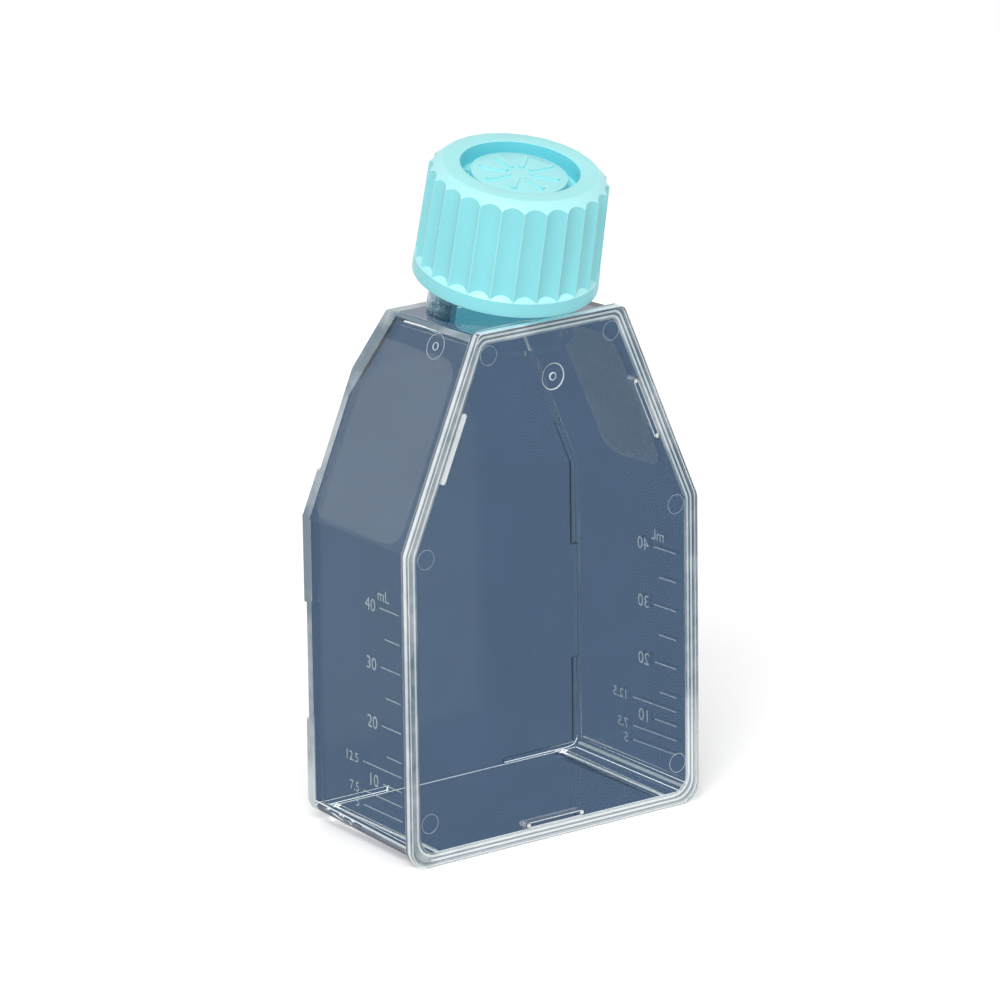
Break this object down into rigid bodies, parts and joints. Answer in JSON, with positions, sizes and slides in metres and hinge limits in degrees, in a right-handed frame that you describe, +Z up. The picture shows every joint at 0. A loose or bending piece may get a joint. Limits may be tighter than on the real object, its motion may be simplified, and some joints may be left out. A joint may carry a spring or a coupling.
{
  "type": "cell culture flask",
  "caption": "Clear rectangular tissue culture flask with a canted neck, a stacking rim and a fluted, vented screw cap over a gas membrane.",
  "frame": {"origin": "on the ground under the flask standing on its base, midway across its width and midway through the depth of its body", "axes": "+Z runs up from the base to the neck, -Y points out of the front plate and towards the side the neck leans to, +X runs across the flask to the right when its front plate is looked at"},
  "size_m": [0.051, 0.0325, 0.0992],
  "materials": {
    "clear": "clear moulded polystyrene, polished, with frosted writing patches",
    "cap": "satin moulded polyethylene, pale aqua",
    "membrane": "matt white hydrophobic film"
  },
  "bodies": {
    "flask": {"flask_body": "clear", "front_plate": "clear"},
    "membrane": {"vent_membrane": "membrane"},
    "cap": {"screw_cap": "cap"}
  },
  "joints": [
    {"name": "cap_lift", "type": "slide", "parent": "flask", "child": "membrane", "axis": [0, -0.2284, 0.9736], "range_m": [0, 0.01401]},
    {"name": "cap_turn", "type": "hinge", "parent": "membrane", "child": "cap", "pos_m": [0, -0.00412, 0.08574], "axis": [0, -0.2284, 0.9736], "range_deg": [0, 840]}
  ],
  "couplings": [
    {"joint": "cap_lift", "follows": "cap_turn", "m_per_rad": 0.00095493}
  ]
}
